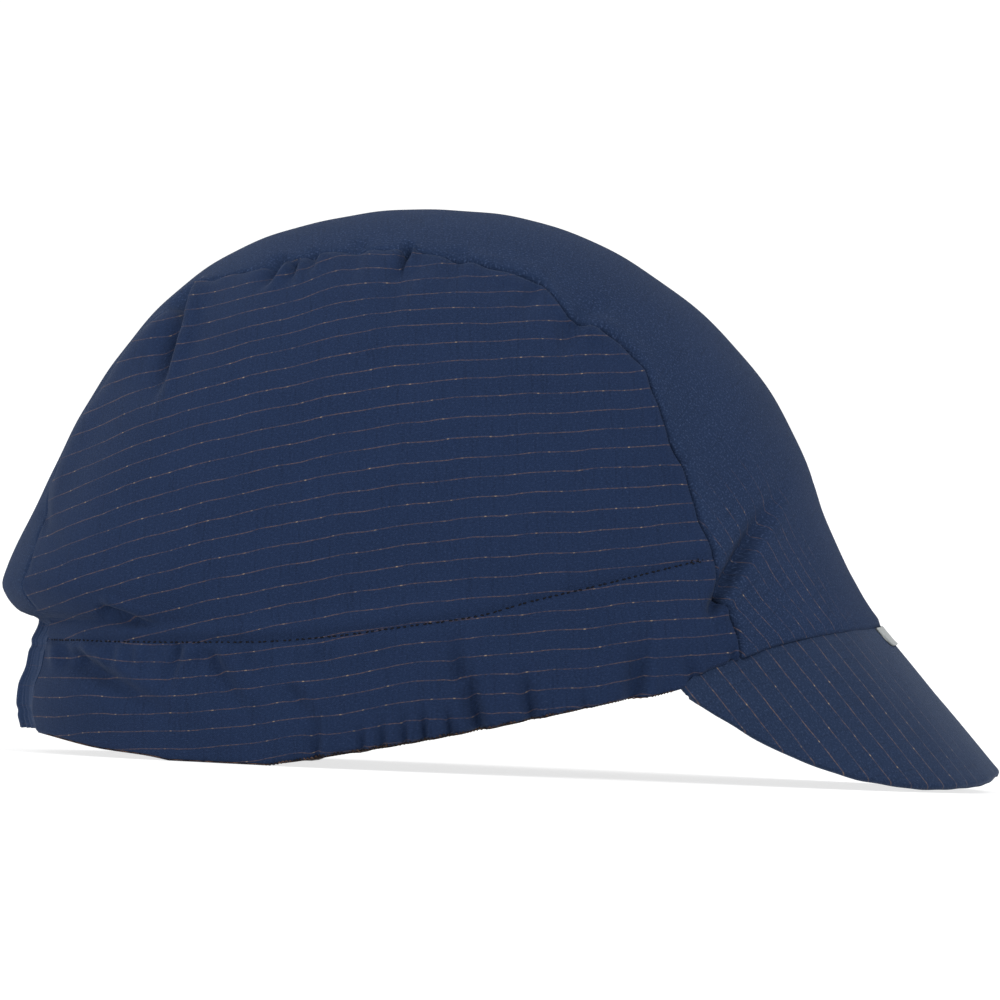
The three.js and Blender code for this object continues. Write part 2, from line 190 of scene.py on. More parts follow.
# Folds seen from the side, from the end that the seam or the hem holds to where they fade.
# Each is a valley with its own width behind and ahead, and a low ridge ahead of it.
FOLDS = (
    # x, z, to x, to z, behind, ahead, depth
    (-59.5, 118, -70.5, 85, 4.6, 1.4, 4.9),
    (-64, 112, -74, 96, 3.0, 3.5, -1.4),
    (-63, 106, -69, 88, 2.2, 1.3, 2.2),
    (-79, 99, -86, 84, 3.0, 2.5, 1.2),
    (-36.5, 124.5, -43, 116.5, 1.7, 1.0, 3.6),
    (-33, 124.5, -35, 117, 1.2, 0.8, 2.2),
    (-28, 126.5, -30.5, 120, 1.2, 0.8, 1.7),
    (-17, 128, -20, 114, 2.4, 1.8, 1.1),
    (-4.5, 127.8, -8, 119.5, 1.2, 0.7, 3.8),
    (-6.5, 121, -11, 102, 3.0, 2.6, 1.4),
    (8, 126, 5, 112, 2.4, 2.0, 1.2),
    (27, 118, 22, 107, 2.4, 2.0, 1.4),
    (36.5, 108.5, 33, 98, 3.2, 2.0, 1.7),
    (-96, 62, -84, 38, 2.4, 2.0, 0.5),
    (-79, 37.8, -61, 32.3, 1.7, 1.1, 2.3),
    (-27.7, 3, -27, 15, 1.7, 1.1, 1.6),
    (-16, 4, -16.5, 12, 1.1, 0.8, 1.6),
    (-11, 4.5, -11.5, 13.5, 1.0, 0.8, 1.6),
    (-5.5, 5, -6, 15.5, 1.1, 0.8, 2.0),
    (-0.5, 6, -1.5, 17, 0.9, 0.7, 2.3),
    (6, 7, 4.5, 16, 1.0, 0.8, 2.4),
    (13.3, 8, 8.2, 30, 2.5, 1.4, 3.8),
    (7.6, 22, 6.4, 37, 1.8, 1.4, 1.9),
    (26.5, 10.5, 22.5, 28, 2.1, 1.2, 2.9),
    (39, 13.5, 38, 21, 1.3, 0.9, 1.4),
    (51.5, 15.5, 55, 38, 3.4, 1.6, 3.6),
    (66, 20, 63, 30, 1.6, 1.2, 1.6),
    (75.5, 25.5, 76, 31.5, 0.8, 0.8, 1.6),
    (-86, 25.5, -57, 8, 3.2, 1.7, 2.9),
    (-33, 18, -25, 5, 1.9, 1.4, 1.2),
    (-53, 26, -42, 7, 2.6, 1.6, 1.9),
    (-62, 28, -65, 14, 1.6, 1.1, 1.5),
)
CENTRE_FOLDS = (
    # x, z, to x, to z, behind, ahead, depth
    (72.4, 40.8, 90, 72, 1.9, 1.1, 4.5),
    (76, 46, 91, 76, 3.4, 2.2, 2.2),
    (38, 111, 47, 116, 2.6, 2.6, 1.5),
    (-94, 60, -88, 78, 2.4, 2.4, 1.1),
)
LEFT_FOLDS_AHEAD = 5.0
# How far past the seam a panel's own folds fade away
FOLDS_FADE = 9.0
# The loose cloth beside the centre panel's back part puffs up: how high, at what distance, how wide
PUFF = (1.6, 5, 7)


def across_folds(folds, point):
    """For each fold: the distance from its line, its two widths, and its depth at the point."""
    shift = np.where(point[..., 1] > 0, LEFT_FOLDS_AHEAD, 0)
    for x, z, to_x, to_z, behind, ahead, depth in folds:
        along = np.array([to_x - x, to_z - z], float)
        length = np.hypot(*along)
        dx, dz = point[..., 0] - x - shift, point[..., 2] - z
        share = (dx * along[0] + dz * along[1]) / length**2
        fade = ease(np.where(share < 0, 1 + 5 * share, 1 - share), 0, 1)
        off = (dx * along[1] - dz * along[0]) / length * (1 if along[1] > 0 else -1)
        yield off, behind, ahead, depth * fade


def folded(folds, point):
    """How far the folds move the cloth: down in each valley and up on the ridge beside it."""
    moved = np.zeros(point.shape[:-1])
    for off, behind, ahead, depth in across_folds(folds, point):
        valley = np.exp(-((off / np.where(off > 0, ahead, behind)) ** 2))
        ridge = 0.4 * np.exp(-(((off - 2.1 * ahead) / (1.2 * ahead)) ** 2))
        moved += depth * (ridge - valley)
    return moved


def crown_relief(point):
    """How far folds and the unevenness of soft cloth move the crown's surface outwards."""
    x, y, z = point[..., 0], point[..., 1], point[..., 2]
    angle = np.degrees(np.arctan2(z - FAN_HEIGHT, x))
    past = np.abs(y) - smooth_read(SEAM, 1, angle)
    on_side = ease(past, -FOLDS_FADE, 0)
    on_centre = 1 - ease(past, 0, FOLDS_FADE)
    soft = (
        0.22 * np.sin(x / 11 + 1.3) * np.sin(z / 15 + 0.7 + y / 60)
        + 0.14 * np.sin(x / 5.3 - z / 17 + 2.1) * np.sin(z / 8.5 + 0.4)
        + 0.10 * np.sin((x + z) / 3.9 + y / 23) * np.sin((x - z) / 6.1 + 1.9)
    )
    high, far, wide = PUFF
    at_back = ease(angle, 112, 121) * (1 - ease(angle, 140, 150))
    puffed = high * at_back * np.exp(-(((past - far) / wide) ** 2))
    return on_side * (folded(FOLDS, point) + puffed) + on_centre * folded(CENTRE_FOLDS, point) + soft


def outward(grid):
    """Unit normals of a grid of points, pointing away from the middle of the crown."""
    normal = np.cross(np.gradient(grid, axis=0), np.gradient(grid, axis=1))
    normal /= np.maximum(np.linalg.norm(normal, axis=-1, keepdims=True), 1e-12)
    away = grid - np.array([0, 0, WIDEST_HEIGHT])
    return normal * np.sign(np.sum(normal * away, axis=-1, keepdims=True))


def crown_outward(points):
    """Unit normals of the crown at points that lie on it, from how its outline changes there."""

    def level(p):
        z = np.minimum(p[..., 2], CROWN_TOP - 0.01)
        along = np.abs(p[..., 0]) / reach(z, p[..., 0] > 0)
        across = np.abs(p[..., 1]) / side_reach(z)
        return along**PLAN_POWER + across**PLAN_POWER

    normal = np.stack([level(points + move) - level(points - move) for move in 0.05 * np.eye(3)], -1)
    return normal / np.linalg.norm(normal, axis=-1, keepdims=True)


def stand_up(points):
    """Turns points of the level cap, in mm, to how it stands on its rim and peak, in m."""
    c, s = math.cos(REST_TILT), math.sin(REST_TILT)
    x, y, z = points[..., 0], points[..., 1], points[..., 2]
    stood = np.stack([x * c - z * s, y, x * s + z * c], -1) + np.array(STANDS_AT)
    return stood / 1000


def on_whole_mesh(operator, **settings):
    """Runs an edit-mode operator on the whole mesh of the active piece."""
    bpy.ops.object.mode_set(mode="EDIT")
    bpy.ops.mesh.select_all(action="SELECT")
    operator(**settings)
    bpy.ops.object.mode_set(mode="OBJECT")


def make_active(piece):
    """Selects one piece alone, since an operator acts on all that is selected."""
    bpy.ops.object.select_all(action="DESELECT")
    piece.select_set(True)
    bpy.context.view_layer.objects.active = piece


def cloth_piece(name, points, cloth_uv, closed=False):
    """Adds a grid, moves it onto the points and gives it the cloth's own UV map, in mm."""
    columns, rows = points.shape[0] - 1, points.shape[1] - 1
    bpy.ops.object.select_all(action="DESELECT")
    bpy.ops.mesh.primitive_grid_add(x_subdivisions=columns, y_subdivisions=rows, size=1)
    piece = bpy.context.object
    piece.name = name
    mesh = piece.data
    flat = np.zeros(len(mesh.vertices) * 3)
    mesh.vertices.foreach_get("co", flat)
    flat = flat.reshape(-1, 3)
    i = np.rint((flat[:, 0] + 0.5) * columns).astype(int)
    j = np.rint((flat[:, 1] + 0.5) * rows).astype(int)
    mesh.vertices.foreach_set("co", stand_up(points[i, j]).ravel())
    corner = np.zeros(len(mesh.loops), int)
    mesh.loops.foreach_get("vertex_index", corner)
    layer = mesh.uv_layers[0]
    layer.name = "cloth"
    layer.data.foreach_set("uv", cloth_uv(i[corner], j[corner]).ravel())
    if closed:
        on_whole_mesh(bpy.ops.mesh.remove_doubles, threshold=1e-6)
    middle = stand_up(np.array([0, 0, WIDEST_HEIGHT]))
    face = mesh.polygons[len(mesh.polygons) // 2]
    if np.dot(np.array(face.normal), np.array(face.center) - middle) < 0:
        on_whole_mesh(bpy.ops.mesh.flip_normals)
    bpy.ops.object.shade_smooth()
    return piece


def give_wall(piece, thickness):
    """Gives the cloth its thickness, inwards from the face that shows."""
    wall = piece.modifiers.new("wall", "SOLIDIFY")
    wall.thickness = thickness / 1000
    wall.offset = -1
    wall.use_even_offset = False
    make_active(piece)
    bpy.ops.object.modifier_apply(modifier="wall")


def dist_along(grid, axis):
    """Distance in mm of each point of a grid from the grid's first line along that axis."""
    steps = np.linalg.norm(np.diff(grid, axis=axis), axis=-1)
    start = np.zeros_like(np.take(steps, [0], axis=axis))
    return np.concatenate([start, np.cumsum(steps, axis=axis)], axis=axis)


# The tan threads, in mm; an edge runs from where it starts to show to where it is full
THREADS_APART = 5.0
THREAD_EDGE = (0.19, 0.06)
TWIST = 1.25
KNOTS_APART = 5.6
KNOT_EDGE = (0.42, 0.12)
TAN = (0.200, 0.124, 0.082)
TAN_KNOT = (0.42, 0.31, 0.19)
WARP_PITCH, WEFT_PITCH = 0.55, 0.5


def ripstop_cloth(name, ground, thread_share, broken, heather, sheen, seen=None):
    """Matt cloth with slubs, heather and a fine weave, and tan threads along u of its UV map.

    thread_share is how strongly the threads show, and broken how much they break up into dashes.
    The last argument, seen, paints sheen: where sheen washes the threads out only its first share of
    them shows, and its two ranges give where along and across the cloth the rest sets in.
    """
    material = bpy.data.materials.new(name)
    material.use_nodes = True
    nodes, links = material.node_tree.nodes, material.node_tree.links
    shader = nodes["Principled BSDF"]
    shader.inputs["Roughness"].default_value = 0.86
    shader.inputs["Specular IOR Level"].default_value = 0.05
    shader.inputs["Sheen Weight"].default_value = sheen
    shader.inputs["Sheen Roughness"].default_value = 0.42
    shader.inputs["Sheen Tint"].default_value = (0.66, 0.78, 1.0, 1)

    def feed(socket, value):
        if isinstance(value, (int, float)):
            socket.default_value = value
        else:
            links.new(value, socket)

    def calc(operation, *values):
        node = nodes.new("ShaderNodeMath")
        node.operation = operation
        for socket, value in zip(node.inputs, values):
            feed(socket, value)
        return node.outputs[0]

    def times(first, second):
        return calc("MULTIPLY", first, second)

    def plus(first, second):
        return calc("ADD", first, second)

    def minus(first, second):
        return calc("SUBTRACT", first, second)

    def step(value, low, high):
        node = nodes.new("ShaderNodeMapRange")
        node.interpolation_type = "SMOOTHSTEP"
        feed(node.inputs["Value"], value)
        node.inputs["From Min"].default_value = low
        node.inputs["From Max"].default_value = high
        return node.outputs[0]

    def place(along, across):
        node = nodes.new("ShaderNodeCombineXYZ")
        feed(node.inputs[0], along)
        feed(node.inputs[1], across)
        return node.outputs[0]

    def noise(vector, scale, detail=2.0):
        node = nodes.new("ShaderNodeTexNoise")
        links.new(vector, node.inputs["Vector"])
        node.inputs["Scale"].default_value = scale
        node.inputs["Detail"].default_value = detail
        return node.outputs["Fac"]

    def own_number(dimensions, socket, value):
        node = nodes.new("ShaderNodeTexWhiteNoise")
        node.noise_dimensions = dimensions
        links.new(value, node.inputs[socket])
        return node.outputs["Value"]

    def tint(factor, first, second):
        node = nodes.new("ShaderNodeMix")
        node.data_type = "RGBA"
        feed(node.inputs[0], factor)
        for socket, value in ((node.inputs[6], first), (node.inputs[7], second)):
            if isinstance(value, tuple):
                socket.default_value = (*value, 1)
            else:
                links.new(value, socket)
        return node.outputs[2]

    cloth_map = nodes.new("ShaderNodeUVMap")
    cloth_map.uv_map = "cloth"
    split = nodes.new("ShaderNodeSeparateXYZ")
    links.new(cloth_map.outputs[0], split.inputs[0])
    u, v = split.outputs[0], split.outputs[1]
    here = place(u, v)

    # The threads waver a little, and each has its own run of twist and knots
    waver = times(minus(noise(here, 0.22), 0.5), 0.5)
    count = calc("DIVIDE", plus(v, waver), THREADS_APART)
    index = calc("ROUND", count)
    off = times(calc("ABSOLUTE", minus(count, index)), THREADS_APART)
    thread = step(off, *THREAD_EDGE)
    run = plus(u, times(own_number("1D", "W", index), 37.0))
    twist = calc("SINE", times(run, 2 * math.pi / TWIST))
    knot_count = calc("DIVIDE", run, KNOTS_APART)
    knot_index = calc("ROUND", knot_count)
    knot_own = own_number("2D", "Vector", place(knot_index, index))
    knot_place = times(minus(knot_own, 0.5), 0.5)
    knot_off = times(calc("ABSOLUTE", minus(minus(knot_count, knot_index), knot_place)), KNOTS_APART)
    knot = times(step(knot_off, *KNOT_EDGE), step(knot_own, 0.2, 0.9))

    # They fade in places and break up into dashes, and where seen says so they are painted out:
    # painted sheen, for the sheen that washes them out there
    fade = step(noise(here, 0.11, 3.0), 0.33, 0.55)
    strength = plus(times(twist, 0.22), plus(0.45, times(fade, 0.55)))
    strength = times(plus(strength, times(knot, 0.9)), thread_share)
    dash = step(noise(place(times(run, 0.4), times(index, 7.3)), 1.0, 1.0), 0.4, 0.58)
    strength = times(strength, plus(1 - broken, times(dash, broken * 1.2)))
    if seen:
        low, sets_in_along, sets_in_across = seen
        shows = times(step(u, *sets_in_along), step(calc("ABSOLUTE", v), *sets_in_across))
        strength = times(strength, plus(low, times(shows, 1 - low)))
    thread_share_here = calc("MINIMUM", times(thread, strength), 1.0)

    # The ground is uneven: broad clouding, slubs across the threads, grain and fine heather
    def shade(share, added=0.0):
        return tuple(c * share + added for c in ground)

    cloud = noise(here, 0.035, 3.0)
    slub = step(noise(place(times(u, 1.1), times(v, 0.08)), 1.0, 2.0), 0.5, 0.75)
    grain = noise(place(u, times(v, 2.2)), 1.5, 2.0)
    fleck = step(noise(here, 1.9, 2.0), 0.52, 0.72)
    colour = tint(cloud, shade(0.8), shade(1.12))
    colour = tint(times(slub, 0.6), colour, shade(0.62))
    colour = tint(times(step(grain, 0.3, 0.7), 0.55), colour, shade(1.45))
    colour = tint(times(fleck, heather), colour, shade(2.4, 0.016))
    colour = tint(thread_share_here, colour, tint(knot, TAN, TAN_KNOT))
    links.new(colour, shader.inputs["Base Color"])

    # The weave, the grain and the threads stand up from the cloth
    warp = calc("SINE", times(u, 2 * math.pi / WARP_PITCH))
    weft = calc("SINE", times(v, 2 * math.pi / WEFT_PITCH))
    weave = times(times(warp, weft), 0.5)
    raised = plus(times(thread, 1.2), plus(weave, times(grain, 1.6)))
    bump = nodes.new("ShaderNodeBump")
    bump.inputs["Strength"].default_value = 0.5
    bump.inputs["Distance"].default_value = 0.00012
    links.new(raised, bump.inputs["Height"])
    links.new(bump.outputs[0], shader.inputs["Normal"])
    return material


NAVY = (0.0094, 0.0184, 0.0472)
NAVY_CENTRE = (0.0114, 0.0215, 0.0515)
side_cloth = ripstop_cloth("navy_ripstop", NAVY, 0.24, 0.35, 0.2, 0.07)
# The centre panel's threads carry painted sheen: they are faded out except towards the front beside
# the seams, where sheen washes them out
centre_cloth = ripstop_cloth(
    "navy_ripstop_centre", NAVY_CENTRE, 0.27, 0.8, 0.6, 0.03, (0.0, (262, 296), (36, 57))
)

CENTRE_COLUMNS, CENTRE_ROWS = 300, 130
# Beside a seam, in mm: how deep and wide the cloth rolls down, how high, far and wide it swells
# up again, and how high and wide the puckers are
ROLL = (2.2, 1.5)
SWELL = (0.3, 4, 2.8)
PUCKER = (0.16, 4.5)
# How deep the panel's ends are tucked in, and over what length
FRONT_TUCK = (0.3, 2.5)
BACK_TUCK = (0.4, 2.0)


def even_steps(curve, count):
    """Places along a curve from 0 to 1 that divide its length evenly."""
    fine = np.linspace(0, 1, 2001)
    length = dist_along(curve(fine), 0)
    return np.interp(np.linspace(0, length[-1], count + 1), length, fine)


def seam_groove(dist, along, angle, side):
    """The cloth rolls down into a seam, swells beside it and puckers a little along it."""
    deep = 1.3 - 0.3 * ease(angle, 68, 78) - 0.75 * ease(angle, 82, 92)
    roll = -ROLL[0] * deep * (1 - ease(dist, 0, ROLL[1]))
    swell = SWELL[0] * deep * np.exp(-(((dist - SWELL[1]) / SWELL[2]) ** 2))
    wave = np.sin(along / 1.45 + side) + 0.7 * np.sin(along / 2.3 + 1.1)
    pucker = PUCKER[0] * wave * np.exp(-((dist / PUCKER[1]) ** 2))
    return roll + swell + pucker


def front_edge(y):
    """The angle at which the crown ends on the line where the peak is sewn on."""
    edge = np.full(np.shape(y), SEAM[0][0])
    for _ in range(10):
        x = fan_point(edge, y)[..., 0]
        edge = np.degrees(np.arctan2(rim_height(x) - FAN_HEIGHT, x))
    return edge


FRONT_ANGLE = float(front_edge(np.array([SEAM[0][1]]))[0])
BACK_ANGLE = SEAM[-1][0]


def seam_angle(share):
    """The angle over the top, by the share of the way from the casing to the peak."""
    return BACK_ANGLE + (FRONT_ANGLE - BACK_ANGLE) * share


share = even_steps(lambda t: fan_point(seam_angle(t), 0 * t), CENTRE_COLUMNS)
angle = seam_angle(share)
half = smooth_read(SEAM, 1, angle) + SEAM_LAP
across = np.linspace(-1, 1, CENTRE_ROWS + 1)
trimmed = front_edge(across * half[-1]) - FRONT_ANGLE
steps = np.linspace(0, 1, CENTRE_COLUMNS + 1)
angle_at = angle[:, None] + ease(steps, 0.6, 1)[:, None] * trimmed[None, :]
base = fan_point(angle_at, half[:, None] * across[None, :])
along = dist_along(base, 0)
width = dist_along(base, 1)
to_right, to_left = width, width[:, -1:] - width
out = crown_relief(base) + seam_groove(np.minimum(to_right, to_left), along, angle[:, None], 0.4)
to_front = along[-1:, :] - along
out -= FRONT_TUCK[0] * (1 - ease(to_front, 0, FRONT_TUCK[1]))
out -= BACK_TUCK[0] * (1 - ease(along, 0, BACK_TUCK[1]))
centre_points = base + outward(base) * out[..., None]
across = width - width[:, CENTRE_ROWS // 2, None]
centre_uv = np.stack([along, across * (1 + 0.006 * np.maximum(along - 255, 0))], -1)
crown_centre = cloth_piece("crown_centre", centre_points, lambda i, j: centre_uv[i, j])
give_wall(crown_centre, CLOTH)
crown_centre.data.materials.append(centre_cloth)
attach(crown_centre, "root")
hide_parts("centre_panel")

# Side panels
# Two D-shaped pieces of the same cloth, its tan threads running round the head. Each is
# turned up in a wide hem whose top edge is sewn down with dark thread; the blouson cloth
# above sags onto that line, and the hem is drawn in by small gathers along the rim.
HEM_LINE = (
    # x, height
    (-110, 31), (-95, 30.6), (-70, 30.2), (-45, 30.3), (-25, 31.6), (-7.5, 33.9), (12.6, 36.8),
    (25, 40.2), (42, 44.2), (57.5, 48), (71.5, 51.3), (90, 55),
)
# Where the tan threads run, seen from the side. In the hem: the height of the fifth thread down
# and how close they lie; above it: the heights of the threads 0, 20, 40, 60 and 75 mm up
THREADS = (
    # x, hem, closeness, at 0, at 20, at 40, at 60, at 75
    (-115, 16, 1.04, 22.8, 41.2, 56.8, 74.2, 87),
    (-108, 16, 1.04, 25, 43.5, 59.5, 77, 90),
    (-91.4, 16.4, 1.04, 30.2, 49, 66.1, 83.8, 97.5),
    (-81.5, 16.9, 1.086, 33.6, 52.55, 70.6, 88.2, 101.5),
    (-69.1, 16.6, 1.16, 36.7, 56.4, 75.4, 93.6, 105.4),
    (-56.8, 17.35, 1.135, 39.9, 59.5, 79.1, 97, 108.8),
    (-44.4, 18.8, 1.116, 42.5, 62.4, 82, 100.5, 112.1),
    (-32, 20.5, 1.13, 44.9, 65, 84.6, 103.3, 115.1),
    (-19.6, 22.1, 1.063, 47.1, 67.2, 87.15, 106.3, 118.9),
    (-7.25, 24.8, 1.047, 48.9, 69.1, 88.95, 108.3, 119.4),
    (5.1, 26, 1.036, 50.4, 70.4, 90.4, 109, 120.3),
    (17.5, 27.15, 1.05, 51.4, 71.5, 91.2, 109.3, 120.8),
    (29.9, 28.2, 1.05, 52.3, 72.3, 91.8, 109.8, 121.3),
    (42.25, 29.2, 1.05, 52.9, 73, 92.3, 110.2, 121.7),
    (54.6, 31.1, 1.075, 54, 73.8, 93, 110.6, 122),
    (64.5, 31.4, 1.075, 55, 74, 93.5, 111, 122.3),
    (75, 32.3, 1.075, 55.8, 74.8, 94.2, 111.6, 122.8),
    (115, 35, 1.075, 57.5, 76.5, 96, 113, 124),
)
THREAD_MARKS = (0, 20, 40, 60, 75)
SIDE_COLUMNS, SIDE_ROWS = 290, 160
# How deep the rim's edge is turned in, and over what height
RIM_TUCK = (0.55, 1.0)


def rim_point(turn):
    """The crown's surface on the rim, by the direction round the head."""
    z = np.zeros_like(turn)
    for _ in range(12):
        z = rim_height(round_point(turn, z)[..., 0])
    return round_point(turn, z)


def thread_place(point, in_hem):
    """Where a point lies across the threads, in mm; a thread runs at every multiple of 5."""
    x, z = point[..., 0], point[..., 2]
    heights = [smooth_read(THREADS, 3 + k, x) for k in range(len(THREAD_MARKS))]
    above = 1.04 * (z - heights[0])
    for k in range(len(THREAD_MARKS) - 1):
        share = (z - heights[k]) / (heights[k + 1] - heights[k])
        mark = THREAD_MARKS[k] + (THREAD_MARKS[k + 1] - THREAD_MARKS[k]) * share
        above = np.where(share > 0, mark, above)
    above += 0.02 * np.maximum(z - heights[-1], 0) ** 2
    hem = -25 + smooth_read(THREADS, 2, x) * (z - smooth_read(THREADS, 1, x))
    drawn = 0.25 * np.sin(x / 7.5 + z / 9) * np.sin(x / 4.1 - z / 13)
    for off, behind, ahead, depth in across_folds(FOLDS, point):
        off = off / np.where(off > 0, ahead, behind)
        drawn -= 0.55 * np.clip(depth, 0, 2) * off * np.exp(-(off**2)) * min(1, 2.5 / behind)
    return np.where(in_hem, hem, above) + drawn


def side_panel(name, side, material):
    """One side of the crown, from the rim up to the seam; side is -1 for right and 1 for left."""

    def seam(t):
        a = seam_angle(t)
        return fan_point(a, side * (smooth_read(SEAM, 1, a) - SEAM_LAP))

    def rim(t):
        return rim_point(side * (ends[0] + (ends[1] - ends[0]) * t))

    ends = np.abs(turn_of(seam(np.array([0.0, 1.0]))))
    # At the front the foot starts a hair behind the corner
    ends[1] += 0.003
    top_share = even_steps(seam, SIDE_COLUMNS)
    top = seam(top_share)
    foot = rim(even_steps(rim, SIDE_COLUMNS))
    v = np.linspace(0, 1, SIDE_ROWS + 1)[None, :]
    climb = 0.35 * np.sin(v * math.pi / 2) + 0.65 * v
    foot_turn, top_turn = np.abs(turn_of(foot))[:, None], np.abs(turn_of(top))[:, None]
    late = 1 + 2 * (1 - ease(top_share, 0.12, 0.35))[:, None]
    turn = side * (foot_turn + (top_turn - foot_turn) * v**late)
    base = round_point(turn, foot[:, None, 2] + (top[:, None, 2] - foot[:, None, 2]) * climb)
    x, z = base[..., 0], base[..., 2]
    up = dist_along(base, 1)
    down = up[:, -1:] - up
    turns = np.linspace(0, math.pi, 721)
    ring = round_point(turns, WIDEST_HEIGHT)
    arc = np.interp(np.abs(turn_of(base)), turns, dist_along(ring, 0))
    size = (side_reach(z) / HALF_WIDTH + reach(z, x > 0) / 107) / 2
    along = (arc - np.interp(math.pi / 2, turns, dist_along(ring, 0))) * size
    along_seam = dist_along(top, 0)[:, None]
    out = crown_relief(base)
    out += seam_groove(down, along_seam, seam_angle(top_share)[:, None], 2.2 * side)
    out -= RIM_TUCK[0] * (1 - ease(up, 0, RIM_TUCK[1]))

    # The sewn line pulls in, the cloth above sags over it and the hem below is puckered
    over = z - smooth_read(HEM_LINE, 1, x)
    back_part = 1 - ease(x, -45, 30)
    line = -0.5 * np.exp(-((over / 0.9) ** 2))
    sag = (0.25 + 0.75 * back_part) * np.exp(-(((over - 3.4) / 2.6) ** 2)) * ease(over, -0.2, 1.6)
    pucker = np.sin(x / 0.68) + 0.8 * np.sin(x / 0.93 + 1.7) + 0.6 * np.sin(x / 1.7 + 0.5)
    short = np.exp(-(((over + 3.4) / 3.2) ** 2)) * ease(-over, 0, 1.2)
    out += line + sag + 0.34 * pucker * short * (0.35 + 0.65 * back_part)
    near_rim = np.exp(-((up / 5.5) ** 2)) * ease(x, -40, -22) * (1 - ease(x, 35, 60))
    out += 0.16 * near_rim * (np.sin(x / 0.83) + 0.7 * np.sin(x / 1.27 + 0.9))

    points = base + crown_outward(base) * out[..., None]
    seen_at = 0.3 * base + 0.7 * points

    def cloth_uv(i, j):
        # Corners come four to a face, and a face lies wholly above the sewn line or below it
        in_hem = np.repeat(over[i, j].reshape(-1, 4).mean(1) < 0, 4)
        return np.stack([along[i, j], thread_place(seen_at[i, j], in_hem)], -1)

    piece = cloth_piece(name, points, cloth_uv)
    give_wall(piece, CLOTH)
    piece.data.materials.append(material)
    return piece


crown_right = side_panel("crown_right", -1, side_cloth)
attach(crown_right, "root")
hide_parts("side_panel_right")
crown_left = side_panel("crown_left", 1, side_cloth)
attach(crown_left, "root")
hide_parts("side_panel_left")

# Elastic casing
# A tube of the cap's cloth at the back of the rim. The elastic inside it draws it up into
# deep, uneven gathers, and two rows of stitches hold it.
CASING_HALF = 27.7
CASING_BOTTOM = 8.2
CASING_LAP = 0.3
STITCHED_AT = (12.5, 29)
CASING_COLUMNS, CASING_ROWS = 230, 60
y = np.linspace(-1, 1, CASING_COLUMNS + 1) * CASING_HALF
top_z = fan_point(BACK_ANGLE, y)[:, 2] + CASING_LAP
v = np.linspace(0, 1, CASING_ROWS + 1)
z = CASING_BOTTOM + (top_z[:, None] - CASING_BOTTOM) * v[None, :]
y = y[:, None] + 0 * z
x = -reach(z, False) * (1 - (np.abs(y) / side_reach(z)) ** PLAN_POWER) ** (1 / PLAN_POWER)
base = np.stack([x, y, z], -1)
fade = 1 - ease(np.abs(y), 21, CASING_HALF)
lean = y + 1.3 * np.sin(z / 6.5) + 0.8 * np.sin(y / 5 + z / 9)
# Three sets of gathers, 5.4, 3.3 and 8.7 mm apart
gather = (
    np.cos(2 * math.pi * lean / 5.4)
    + 0.55 * np.cos(2 * math.pi * lean / 3.3 + 1.1)
    + 0.4 * np.cos(2 * math.pi * (lean + z / 7) / 8.7 + 0.4)
)
rows_held = sum(np.exp(-((z - height) ** 2)) for height in STITCHED_AT)
out = -0.45 - 0.75 * fade + fade * 0.5 * gather - 0.45 * rows_held
out += 0.35 * np.sin(math.pi * v)[None, :]
casing_points = base + outward(base) * out[..., None]
across = dist_along(base, 0)
casing_uv = np.stack([across * 1.5, z + 1.0], -1)
back_casing = cloth_piece("back_casing", casing_points, lambda i, j: casing_uv[i, j])
give_wall(back_casing, CLOTH)
# Painted light: the casing's navy is lighter than the rest of the cloth, standing in for the light
# that wraps round the back of the cap
NAVY_BACK_PAINTED_LIGHTER = (0.0140, 0.0260, 0.0610)
casing_cloth = ripstop_cloth("navy_ripstop_back_painted_lighter", NAVY_BACK_PAINTED_LIGHTER, 0.05, 0.3, 0.25, 0.08)
back_casing.data.materials.append(casing_cloth)
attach(back_casing, "root")
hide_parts("elastic_casing")

# Sweatband
# A dark knitted band sewn round the inside of the rim. Its lower edge is overlocked with
# dark brown thread and shows as a thin line below the hem.
BAND_HEIGHT, BAND_THICKNESS = 24.0, 1.0
# How far the band lies inside the cloth, how much farther at the casing, and how far it leans in
BAND_IN, BAND_IN_AT_CASING, BAND_LEAN = 0.35, 2.0, 0.8
# How far the band shows below the rim
SHOWS = (
    # x, drop
    (-110, -0.6), (-95, -0.6), (-82, 0.15), (-62, 0.0), (-40, -0.05), (-33, 0.35), (-22, 0.5),
    (20, 0.5), (45, 0.2), (60, -0.2), (115, -0.3),
)
BAND_COLUMNS, BAND_ROWS = 420, 40


